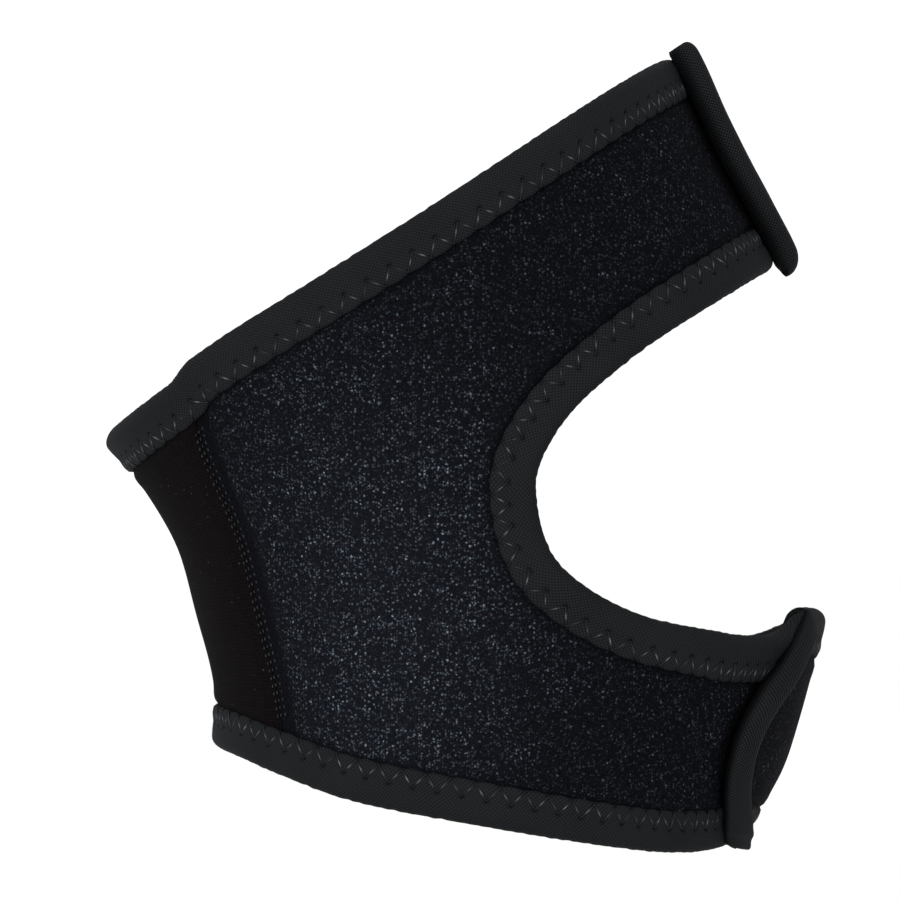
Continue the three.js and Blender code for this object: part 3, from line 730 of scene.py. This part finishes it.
def openingPath(side):
    curve = openings[side]
    lower, upper = frontSeams["lower"], frontSeams["upper"]
    lowerEnd = lower["high"] - (lower["peak"] if side > 0 else 0)
    first = side * besideSeam(lower, lowerEnd, side * tuck["opening"])
    last = side * besideSeam(upper, upper["low"], side * tuck["opening"])
    far = int(np.argmax(side * curve[:, 0]))
    start = int(np.argmax(side * curve[:far, 0] > first))
    stop = far + int(np.argmax(side * curve[far:, 0] < last))
    angle, height = curve[start:stop].T
    peak = np.where((side > 0) & (np.arange(len(angle)) < len(angle) / 2), peakHeight(angle), 0)
    return tapePath(angle, height, peak, side, [(lower, side, 0), (upper, side, 0)])


paths = {
    "top_binding": roundLegPath(topHeight, frontSeams["upper"], 1),
    "bottom_binding": roundLegPath(bottomHeight, frontSeams["lower"], -1),
    "right_opening_binding": openingPath(1),
    "left_opening_binding": openingPath(-1),
}

binding = {
    "step": 0.42,  # mm between sections
    "foldDepth": 1,  # from the cut edge to where the fold starts to round
    "crown": 0.18,  # how much the tape is fuller between its fold and its stitches
    "holeRow": 4.1,  # mm from the cut edge to the outer needle holes
    "innerRow": 7.0,  # and to the inner ones
    "firstStitch": 0.3,  # the share of a stitch that is done where the tape starts
    "holeRadius": 0.32, "holeDepth": 0.55, "shadeRadius": 0.42,
    "groove": 0.14, "grooveWidth": 0.3,  # under the thread
    "scallop": 0.11,  # of the inner edge
    "edgeWave": 0.14,  # of the fold
    "sink": 0.3,  # how far the inner edge lies below the flat tape
}
# millimetres between stitches, along each path
stitchPitch = {
    "top_binding": {"share": [0, 0.1, 0.25, 0.75, 0.9, 1], "pitch": [3.6, 4.6, 4.8, 4.8, 4.6, 3.6]},
    "bottom_binding": {"share": [0, 0.08, 0.2, 0.8, 0.92, 1], "pitch": [3.0, 3.8, 4.4, 4.4, 3.8, 3.0]},
}
for name in ("right_opening_binding", "left_opening_binding"):
    stitchPitch[name] = {"share": [0, 0.08, 0.25, 0.5, 0.75, 1], "pitch": [2.5, 3.2, 4.2, 3.5, 4.5, 4.2]}


# how many stitches lie before a place on the tape
def stitchCount(name, along):
    path = paths[name]
    pitch = smooth(stitchPitch[name], "pitch", path["along"] / path["along"][-1])
    count = np.concatenate([[0], np.cumsum(np.diff(path["along"]) / pitch[1:])])
    return np.interp(along, path["along"], count + binding["firstStitch"])


def stitchPlaces(name):
    path = paths[name]
    count = stitchCount(name, path["along"])
    return lambda at: np.interp(at, count, path["along"]), int(count[-1] * 2) / 2


def makeTape(name):
    look, path = binding, paths[name]
    total = path["along"][-1]
    along = np.linspace(0, total, int(total / look["step"]) + 1)[:, None]
    width = tape["width"]
    outside, inner = tape["gap"] + tape["thickness"], tape["gap"]
    top, middle = foam["boundTop"], foam["boundTop"] / 2
    fold = look["foldDepth"]

    def bend(reach, turns):
        turn = np.radians(turns)
        return fold - (fold + reach) * np.cos(turn), middle + (middle + reach) * np.sin(turn)

    flat = width - np.concatenate([[0, 0.12, 0.3, 0.55, 0.85], np.arange(1.2, width - 2.4, 0.38), [5.2, 5.8]])
    foldOut = bend(outside, np.linspace(88, -88, 15))
    foldIn = bend(inner, np.linspace(-80, 80, 6))
    under, within, over = [fold + 0.6, 3.5, 5.5, width], [width, 4.5, fold], [fold, 4.5, width]
    inwards = [flat, foldOut[0], under, within, foldIn[0], over]
    lifts = [0 * flat + top + outside, foldOut[1], [-outside] * 4, [-inner] * 3, foldIn[1], [top + inner] * 3]
    inward, lift = np.concatenate(inwards)[None], np.concatenate(lifts)[None]
    upper = (lift > top + inner + 0.01).astype(float)

    count = stitchCount(name, along)
    phase = count - np.round(count)
    pitch = 1 / np.gradient(stitchCount(name, path["along"]), path["along"])
    pitch = np.interp(along, path["along"], pitch)
    # distances to the thread and to the nearest outer and inner needle hole
    legs = np.abs(phase) * 2 * (look["innerRow"] - look["holeRow"]) + look["holeRow"]
    toThread = (inward - legs) * np.sin(np.arctan2(pitch / 2, look["innerRow"] - look["holeRow"]))
    toHole = np.hypot(phase * pitch, inward - look["holeRow"])
    toThread = np.where(inward < look["holeRow"], toHole, toThread)
    toInner = np.hypot((0.5 - np.abs(phase)) * pitch, inward - look["innerRow"])
    drop = look["groove"] * np.exp(-(toThread / look["grooveWidth"]) ** 2)
    drop = drop + look["holeDepth"] * np.exp(-(toHole / look["holeRadius"]) ** 2)
    drop = drop + 0.7 * look["holeDepth"] * np.exp(-(toInner / look["holeRadius"]) ** 2)
    drop = drop + look["sink"] * ease(inward, width - 1.6, width) + 0.35 * ease(inward, width - 0.35, width)
    crown = look["crown"] * np.sin(np.clip((inward + 1) / (look["holeRow"] + 1), 0, 1) * math.pi)
    puffed = np.sin(np.clip((inward - 4.4) / 2.8, 0, 1) * math.pi) * np.abs(phase) * 2
    crown = crown + look["crown"] * 0.8 * puffed
    ends = ease(along, 0, 1.2) * ease(total - along, 0, 1.2)
    lifted = lift + upper * (crown - drop) * ends
    slope = ease(inward, width - 1.4, width)
    scallop = look["scallop"] * np.cos(2 * math.pi * count) * slope
    folded = 1 - ease(inward, -outside, 2.2)
    spots = along * [0.55, 0, 0]
    wave = look["edgeWave"] * (waver(spots, 1, len(name))[:, None] + 0.25 * np.cos(4 * math.pi * count))
    across = inward + scallop - folded * wave
    points = onTape(path, along, across, lifted)
    rows, columns = points.shape[:2]
    out = legFrame(path["angle"][0], path["height"][0])[2]
    flip = (points[0, 0] - points[0, 1]) @ np.cross(points[1, 0] - points[0, 0], out) < 0
    faces = gridFaces(rows, columns, loop=True, flip=flip).tolist()
    first, last = list(range(columns)), list(range((rows - 1) * columns, rows * columns))
    faces += [first, last[::-1]] if flip else [first[::-1], last]
    crossLength = runAlong(np.stack([inward[0], lift[0]], -1))
    uv = np.stack(np.broadcast_arrays(along, crossLength[None]), -1)
    # painted shade in and round the outer and inner needle holes, on the tape's upper face
    nearHole = np.minimum(toHole, toInner * 1.25) / look["shadeRadius"]
    shaded = {"crease": (upper * ends * np.exp(-nearHole ** 2)).ravel()}
    return meshObject(name + "_cloth", points.reshape(-1, 3), faces, uv.reshape(-1, 2), shaded)


# the foam cloth panels
panel = {
    "columns": 120, "rows": 126, "backColumns": 70, "backRows": 96,
    "swell": 0.22,  # how far the foam stands fuller beside a tape
    "band": 4.0, "backBand": 2.4,  # the width that the flat seam presses down, on either panel
    "seamReach": 2.6,  # from a front seam to where its lips end
    "unevenness": 0.2, "unevenSize": 16, "unevenSeed": 3.1,
    # where a painted sheen lightens the loop cloth, as degrees round the leg and shares of its rise
    "sheenAngle": 116, "sheenTurn": 28, "sheenUp": 0.3, "sheenRise": 0.62,
}


# a lip's faces from its top down to the flat panel, as distance from the seam and lift
def lipStations(top):
    level = 0 * top
    outside = [(0.6, top), (1.2, top - 0.2), (1.6, top - 0.9),
               (1.4, level + 4.3), (1.3, level + 3.7), (1.7, level + 3.15)]
    within = [(0.15, top - 0.3), (0.15, top - 0.8), (0.15, top - 1.4),
              (0.15, level + 2.6), (0.3, level + 1.1), (1.1, level + 0.25)]
    return outside, within


def clothLifts(toTape, toSeam, band, places):
    look, width = panel, tape["width"]
    shoulder = ease(toTape, width - 0.6, width + 1.5)
    outer = mix(foam["boundTop"], foam["thickness"], shoulder)
    outer = outer + look["swell"] * np.exp(-((toTape - width - 2.2) / 1.5) ** 2)
    outer = outer + look["unevenness"] * waver(places, look["unevenSize"], look["unevenSeed"]) * shoulder
    outer = mix(foam["boundTop"] - 0.05, outer, ease(toSeam, band - 1.2, band + 1.4))
    outer = outer - 0.25 * np.exp(-(toSeam / 0.5) ** 2)
    inner = mix(foam["boundUnder"], 0, shoulder)
    edge = ease(toTape, 0, 1.6)
    return mix(1.8, outer, edge), mix(0.9, inner, edge)


def shareGrid(columns, rows):
    return np.meshgrid(np.linspace(0, 1, columns), np.linspace(0, 1, rows), indexing="ij")


def sideCloth(side):
    look = panel
    lower, upper = frontSeams["lower"], frontSeams["upper"]
    share, up = shareGrid(look["columns"], look["rows"])
    gap = tape["gap"] / 2

    def atSeam(height, beside):
        low = besideSeam(lower, np.minimum(height, lower["high"]), side * beside)
        high = besideSeam(upper, np.maximum(height, upper["low"]), side * beside)
        return mix(low, high, ease(height, lower["high"], upper["low"]))

    def atBack(height):
        corner = backSeamAngle(height)
        return side * (corner - gap / lengthOf(legFrame(corner, height)[0]))

    height = up * legRise
    for _ in range(7):
        angle = mix(atSeam(height, look["seamReach"]), atBack(height), share)
        height = mix(bottomHeight(angle), topHeight(angle), up)
    around, upward, _ = legFrame(angle, height)
    places = legPoint(angle, height)
    curve = openings[side]
    edgeLine = legPoint(curve[:, 0], curve[:, 1])
    toOpening = nearest(places, edgeLine)
    toEnds = np.minimum(topHeight(angle) - height, height - bottomHeight(angle)) * lengthOf(upward)
    toTape = np.minimum(toOpening, toEnds)
    toSeam = np.abs(atBack(height) - angle) * lengthOf(around)
    outer, inner = clothLifts(toTape, toSeam, look["band"], places)
    lipHeight = height[0]
    middle = (lower["high"] + upper["low"]) / 2
    tops = np.where(lipHeight < middle, lipTop(lower, np.minimum(lipHeight, lower["high"])),
                    lipTop(upper, np.maximum(lipHeight, upper["low"])))
    outside, within = lipStations(tops)
    lips = [onLeg(atSeam(lipHeight, beside), lipHeight, lift) for beside, lift in outside]
    lipsWithin = [onLeg(atSeam(lipHeight, beside), lipHeight, lift) for beside, lift in within]
    turned = turnUp(angle, height)
    outerGrid = np.concatenate([lips, onLeg(angle, height, outer + turned)])
    innerGrid = np.concatenate([lipsWithin, onLeg(angle, height, inner + turned)])
    count = len(outside)
    pad = lambda values: np.concatenate([np.repeat(values[:1], count, 0), values])
    flat = np.stack([pad(angle), pad(height)], -1)
    centres = (flat[:-1, :-1] + flat[1:, 1:]) / 2
    near = np.minimum(pad(toOpening)[:-1, :-1], pad(toOpening)[1:, 1:])
    keep = ~inside(centres, curve) & (near > 0.7)
    # fewer flecks where the pile is pressed, near the tapes and in the flat seam's band; the same value
    # darkens the ground there, which is painted shade beside the tapes
    pile = ease(toTape, tape["width"] - 0.2, tape["width"] + 1.6)
    pile = pile * mix(0.08, 1, ease(toSeam, look["band"] - 0.6, look["band"] + 1.8))
    pile[0] = 0
    # a painted sheen: a broad soft patch on the side of the knee where the loop cloth's ground and flecks are
    # lighter
    sheenDistance = ((np.abs(angle) - look["sheenAngle"]) / look["sheenTurn"]) ** 2
    sheenDistance = sheenDistance + ((height / legRise - look["sheenUp"]) / look["sheenRise"]) ** 2
    raised = np.exp(-sheenDistance)
    # painted shade on the cloth beside each bound front seam, fading over a few millimetres and reaching
    # further beside the upper seam
    seamLine = np.where(height < middle, besideSeam(lower, np.clip(height, lower["low"], lower["high"]), 0),
                        besideSeam(upper, np.clip(height, upper["low"], upper["high"]), 0))
    toFin = np.abs(angle - seamLine) * lengthOf(around)
    crease = 1 - np.where(height < middle, ease(toFin, 2.6, 6.5), ease(toFin, 3.2, 10.5))
    uv = np.stack([np.radians(flat[..., 0]) * leg["depth"] / 2, flat[..., 1]], -1)
    name = "right_panel" if side > 0 else "left_panel"
    return shell(name + "_cloth", outerGrid, innerGrid, keep, uv, {
        "pile": pad(pile), "raised": pad(raised), "crease": pad(crease),
    })


def backCloth():
    share, up = shareGrid(panel["backColumns"], panel["backRows"])
    height = up * legRise
    for _ in range(4):
        seam = backSeamAngle(height)
        seam = seam + tape["gap"] / 2 / lengthOf(legFrame(seam, height)[0])
        angle = mix(seam, 360 - seam, share)
        height = mix(bottomHeight(angle), topHeight(angle), up)
    around, upward, _ = legFrame(angle, height)
    places = legPoint(angle, height)
    toTape = np.minimum(topHeight(angle) - height, height - bottomHeight(angle)) * lengthOf(upward)
    toSeam = np.minimum(angle - seam, 360 - seam - angle) * lengthOf(around)
    lifts = clothLifts(toTape, toSeam, panel["backBand"], places)
    outer, inner = (onLeg(angle, height, lift) for lift in lifts)
    uv = np.stack([np.radians(angle - 180) * leg["depth"] / 2, (height - legRise / 2) * backScale], -1)
    keep = np.ones((share.shape[0] - 1, share.shape[1] - 1), bool)
    return shell("back_panel_cloth", outer, inner, keep, uv)


# the bound front seams
fin = {
    "rowStep": 0.6, "around": 34,
    "fineEnd": 2,  # mm of close rows at each end
    "foot": 0.9,  # width of the foot as a share of the roll above it
    "slant": 2.6,  # by how much the high end of the lower fin is longer on the near side
    "unevenness": 0.16,
    "flare": 0.25,  # how much wider the lower fin's low end is
    "pucker": 0.3,  # the unevenness of that end, over the last "puckerReach" mm
    "puckerReach": 7,
}


def makeFin(which):
    look, seam = fin, frontSeams[which]
    base, wall = foam["thickness"] + 0.7, tape["thickness"]
    (lowPast, *_, lowTip), (highPast, *_, highTip) = seam["ends"]
    low, high = seam["low"] - lowPast / frontScale, seam["high"] + highPast / frontScale
    fine = np.linspace(0, 1, 9)[:-1] ** 2 * look["fineEnd"]
    total = (high - low) * frontScale
    even = np.linspace(look["fineEnd"], total - look["fineEnd"], int(total / look["rowStep"]))
    along = np.concatenate([fine, even, (total - fine)[::-1]])
    turn = np.linspace(0, math.pi, look["around"])[None]
    up = np.sin(turn) ** 0.62
    fold = tape["gap"] + wall

    def arch(halfWidth, over, inset):
        run = (inset + along * (total - 2 * inset) / total)[:, None]
        height = low + run / frontScale
        top = lipTop(seam, height) + over
        # past the other tapes the foot closes under the lips' end
        closed = 1 - ease(np.minimum(run - lowPast, total - highPast - run), -fold - 1.2, -fold + 0.2)
        foot = mix(look["foot"], 0.1, closed)
        waist = mix(foot, 1, ease(up, 0, 0.62)) * mix(1, 0.94, ease(up, 0.8, 1))
        waist = waist * mix(1, 0.85, closed)
        if which == "lower":
            waist = waist * (1 + look["flare"] * (1 - ease(run, 1, 10)))
        beside = -halfWidth * np.sign(np.cos(turn)) * np.abs(np.cos(turn)) ** 0.6 * waist
        if which == "lower":
            away = (1 - beside / halfWidth) / 2
            height = height - look["slant"] / frontScale * away * ease(run, total - 7, total)
        tip = np.where(run < total / 2, lowTip, highTip)
        full = seam["lipHeight"] + foam["thickness"] + over - base
        lift = mix(base, top, up) + tip * (1 - up) * np.maximum(full - (top - base), 0)
        spot = np.stack(np.broadcast_arrays(height * 0.16, turn * 0.6, 0 * height), -1)
        lift = lift + look["unevenness"] * waver(spot, 1, 7.3) * up
        if which == "lower":
            pucker = look["pucker"] * (1 - ease(run, 0, look["puckerReach"]))
            lift = lift + pucker * np.sin(run * 2.1 + 0.6) * up
        points = onLeg(besideSeam(seam, height, beside), height, lift)
        # the cut ends, closed towards their middles
        middles = points[[0, -1]].mean(1, keepdims=True)
        ends = [mix(middles, points[[0, -1]], share) for share in (0.06, 0.5, 0.85)]
        first, last = ([end[i] for end in ends] for i in (0, 1))
        return np.concatenate([first, points, last[::-1]])

    outer = arch(seamHalfWidth, fold, 0)
    inner = arch(seamHalfWidth - wall, tape["gap"], wall * 0.6)
    rowLength, crossLength = runAlong(outer[:, look["around"] // 2]), runAlong(outer[len(outer) // 2])
    uv = np.stack(np.meshgrid(rowLength, crossLength, indexing="ij"), -1)
    keep = np.ones((outer.shape[0] - 1, outer.shape[1] - 1), bool)
    # painted shade on the fin's sides, darkest at its foot and fading towards its top
    crease = np.tile(1 - ease(up[0], 0.15, 0.8), (len(outer), 1))
    shading = {"crease": crease, "taut": 0 * crease + 1}
    return shell(which + "_seam_binding_cloth", outer, inner, keep, uv, shading)


# repeats in Geometry Nodes
class Repeat(Graph):
    # a tree with named inputs, which ends in Realize Instances and Set Material
    def __init__(self, name, inputs):
        self.tree = bpy.data.node_groups.new(name, "GeometryNodeTree")
        self.tree.interface.new_socket("Geometry", in_out="INPUT", socket_type="NodeSocketGeometry")
        for key, kind in inputs.items():
            self.tree.interface.new_socket(key, in_out="INPUT", socket_type="NodeSocket" + kind)
        self.tree.interface.new_socket("Geometry", in_out="OUTPUT", socket_type="NodeSocketGeometry")
        self.inputs = self.tree.nodes.new("NodeGroupInput").outputs

    def given(self, name):
        return Socket(self, self.inputs[name])

    def close(self, instances):
        real = self.node("GeometryNodeRealizeInstances", None, {"Geometry": instances})
        smooth = self.node("GeometryNodeSetShadeSmooth", None, {"Geometry": real})
        sockets = {"Geometry": smooth, "Material": self.given("Material")}
        finished = self.node("GeometryNodeSetMaterial", None, sockets)
        self.node("NodeGroupOutput", None, {"Geometry": finished}, None)
        return self.tree


def grow(name, guide, tree, values):
    modifier = guide.modifiers.new(name, "NODES")
    modifier.node_group = tree
    for item in tree.interface.items_tree:
        if item.in_out == "INPUT" and item.name in values:
            modifier[item.identifier] = values[item.name]
    bpy.context.view_layer.update()
    graph = bpy.context.evaluated_depsgraph_get()
    mesh = bpy.data.meshes.new_from_object(guide.evaluated_get(graph), depsgraph=graph)
    guide.modifiers.remove(modifier)
    bpy.data.objects.remove(guide)
    mesh.name = name
    made = bpy.data.objects.new(name, mesh)
    scene.collection.objects.link(made)
    return made


def stitchTree():
    made = Repeat("stitches", {
        "Thread Radius": "Float", "Arch": "Float", "Looseness": "Float", "Seed": "Int", "Material": "Material",
    })
    kind, vector = "GeometryNodeInputNamedAttribute", {"data_type": "FLOAT_VECTOR"}
    along, outward = (made.node(kind, vector, {"Name": name}) for name in ("along", "outward"))
    length = made.node("ShaderNodeVectorMath", {"operation": "LENGTH"}, {0: along}, "Value")
    peak = made.node("ShaderNodeCombineXYZ", None, {"Z": made.given("Arch") * 2})
    thread = made.node("GeometryNodeCurveQuadraticBezier", None,
                       {"Resolution": 8, "Start": (-0.5, 0, 0), "Middle": peak, "End": (0.5, 0, 0)})
    reach = made.node("GeometryNodeSplineParameter", output="Factor")
    proud = 1 - made.node("ShaderNodeMath", {"operation": "ABSOLUTE"}, {0: reach * 2 - 1})
    thread = made.node("GeometryNodeStoreNamedAttribute", {"data_type": "FLOAT", "domain": "POINT"},
                       {"Geometry": thread, "Name": "proud", "Value": proud})
    ring = made.node("GeometryNodeCurvePrimitiveCircle", None,
                     {"Resolution": 6, "Radius": made.given("Thread Radius")})
    thread = made.node("GeometryNodeCurveToMesh", None,
                       {"Curve": thread, "Profile Curve": ring, "Fill Caps": True})
    turn = made.node("FunctionNodeAxesToRotation", {"primary_axis": "Z", "secondary_axis": "X"},
                     {"Primary Axis": outward, "Secondary Axis": along})
    looseness = made.given("Looseness")
    loose = made.node("FunctionNodeRandomValue", None,
                      {2: 1 - looseness, 3: 1 + looseness, "Seed": made.given("Seed")}, 1)
    size = made.node("ShaderNodeCombineXYZ", None, {"X": length * (loose * 0.3 + 0.7), "Y": loose, "Z": loose})
    points = made.node("GeometryNodeMeshToPoints", None, {"Mesh": made.given("Geometry")})
    return made.close(made.node("GeometryNodeInstanceOnPoints", None,
                                {"Points": points, "Instance": thread, "Rotation": turn, "Scale": size}))


# points for the stitches, each between two places and with the way out of the cloth
def stitchGuide(name, starts, ends, outs):
    starts, ends, outs = (np.concatenate(list(a)).reshape(-1, 3) for a in (starts, ends, outs))
    return meshObject(name + "_guide", (starts + ends) / 2, [],
                      attributes={"along": (ends - starts) * mm, "outward": outs})


stitching = {
    "threadRadius": 0.13, "arch": 0.26, "looseness": 0.25, "seed": 4,
    "sink": 0.28,  # how far the thread's ends lie in the tape
    "clearEnd": 2.2,  # mm of a tape's end without stitches, under the seam's binding
    "seamRows": [-0.5, 0.45, 1.7],  # mm from the back seam, into the side panel
    "seamPitch": 1.5, "seamDash": 0.6, "seamRadius": 0.14, "seamArch": 0.1, "seamSink": 0.02,
    "seamShift": 0.3,  # mm along the seam from one row to the next
    "seamClear": 8,  # mm from the cut edges to the first and the last of them
}


def tapeStitches(name):
    look, path = stitching, paths[name]
    placeAt, total = stitchPlaces(name)
    count = np.arange(0.5, total, 0.5)
    along = placeAt(count)
    shown = (along > look["clearEnd"]) & (along < path["along"][-1] - look["clearEnd"])
    inward = np.where(np.arange(len(count)) % 2 == 1, binding["holeRow"], binding["innerRow"])
    guides = []
    face = foam["boundTop"] + tape["gap"] + tape["thickness"]
    for lift, way in ((face - look["sink"], 1), (-tape["gap"] - tape["thickness"] + look["sink"], -1)):
        spots = onTape(path, along, inward, lift)
        outs = onTape(path, along, inward, lift + way) - spots
        seen = shown[:-1] & shown[1:]
        guides.append((spots[:-1][seen], spots[1:][seen], ((outs[:-1] + outs[1:]) / 2)[seen]))
    return stitchGuide(name, *zip(*guides))


def seamStitches(side):
    look = stitching
    clear, corners = look["seamClear"] / backScale, backSeam["angle"]
    heights = np.linspace(bottomHeight(corners[0]) + clear, topHeight(corners[-1]) - clear, 400)
    seam = backSeamAngle(heights)
    line = legPoint(side * seam, heights)
    run = runAlong(line)
    guides = []
    for row, beside in enumerate(look["seamRows"]):
        starts = np.arange(look["seamShift"] * row, run[-1] - look["seamDash"], look["seamPitch"])
        places = []
        for at in (starts, starts + look["seamDash"]):
            height = np.interp(at, run, heights)
            angle = backSeamAngle(height)
            angle = side * (angle - beside / lengthOf(legFrame(angle, height)[0]))
            places.append((angle, height))
        spots = [onLeg(angle, height, foam["boundTop"] - look["seamSink"]) for angle, height in places]
        guides.append((*spots, legFrame(*places[0])[2]))
    return stitchGuide("seam" + str(side), *zip(*guides))


def dress(piece, slotName, *nodes):
    for node in nodes:
        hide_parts(node)
    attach(piece, "root")


def clothMaterial(piece, material):
    piece.data.materials.append(material)


stitches = stitchTree()

panels = {"right_panel": sideCloth(1), "left_panel": sideCloth(-1), "back_panel": backCloth()}
for name, piece in panels.items():
    clothMaterial(piece, finishes["back" if name == "back_panel" else "loop"])
    dress(piece, "back_cloth" if name == "back_panel" else "loop_cloth", name)
print("panels sewn")

for name in paths:
    piece = makeTape(name)
    clothMaterial(piece, finishes["tape"])
    dress(piece, "binding_tape", name)
    thread = grow(name + "_thread", tapeStitches(name), stitches, {
        "Thread Radius": stitching["threadRadius"] * mm, "Arch": stitching["arch"] * mm,
        "Looseness": stitching["looseness"], "Seed": stitching["seed"], "Material": finishes["thread"],
    })
    dress(thread, "binding_tape")
for which in frontSeams:
    piece = makeFin(which)
    clothMaterial(piece, finishes["tape"])
    dress(piece, "binding_tape", which + "_seam_binding")
print("edges bound")

for side, name in ((1, "right"), (-1, "left")):
    thread = grow(name + "_back_seam_thread", seamStitches(side), stitches, {
        "Thread Radius": stitching["seamRadius"] * mm, "Arch": stitching["seamArch"] * mm,
        "Looseness": stitching["looseness"], "Seed": stitching["seed"] + side,
        "Material": finishes["seamThread"],
    })
    dress(thread, "back_cloth")
print("back seams sewn")
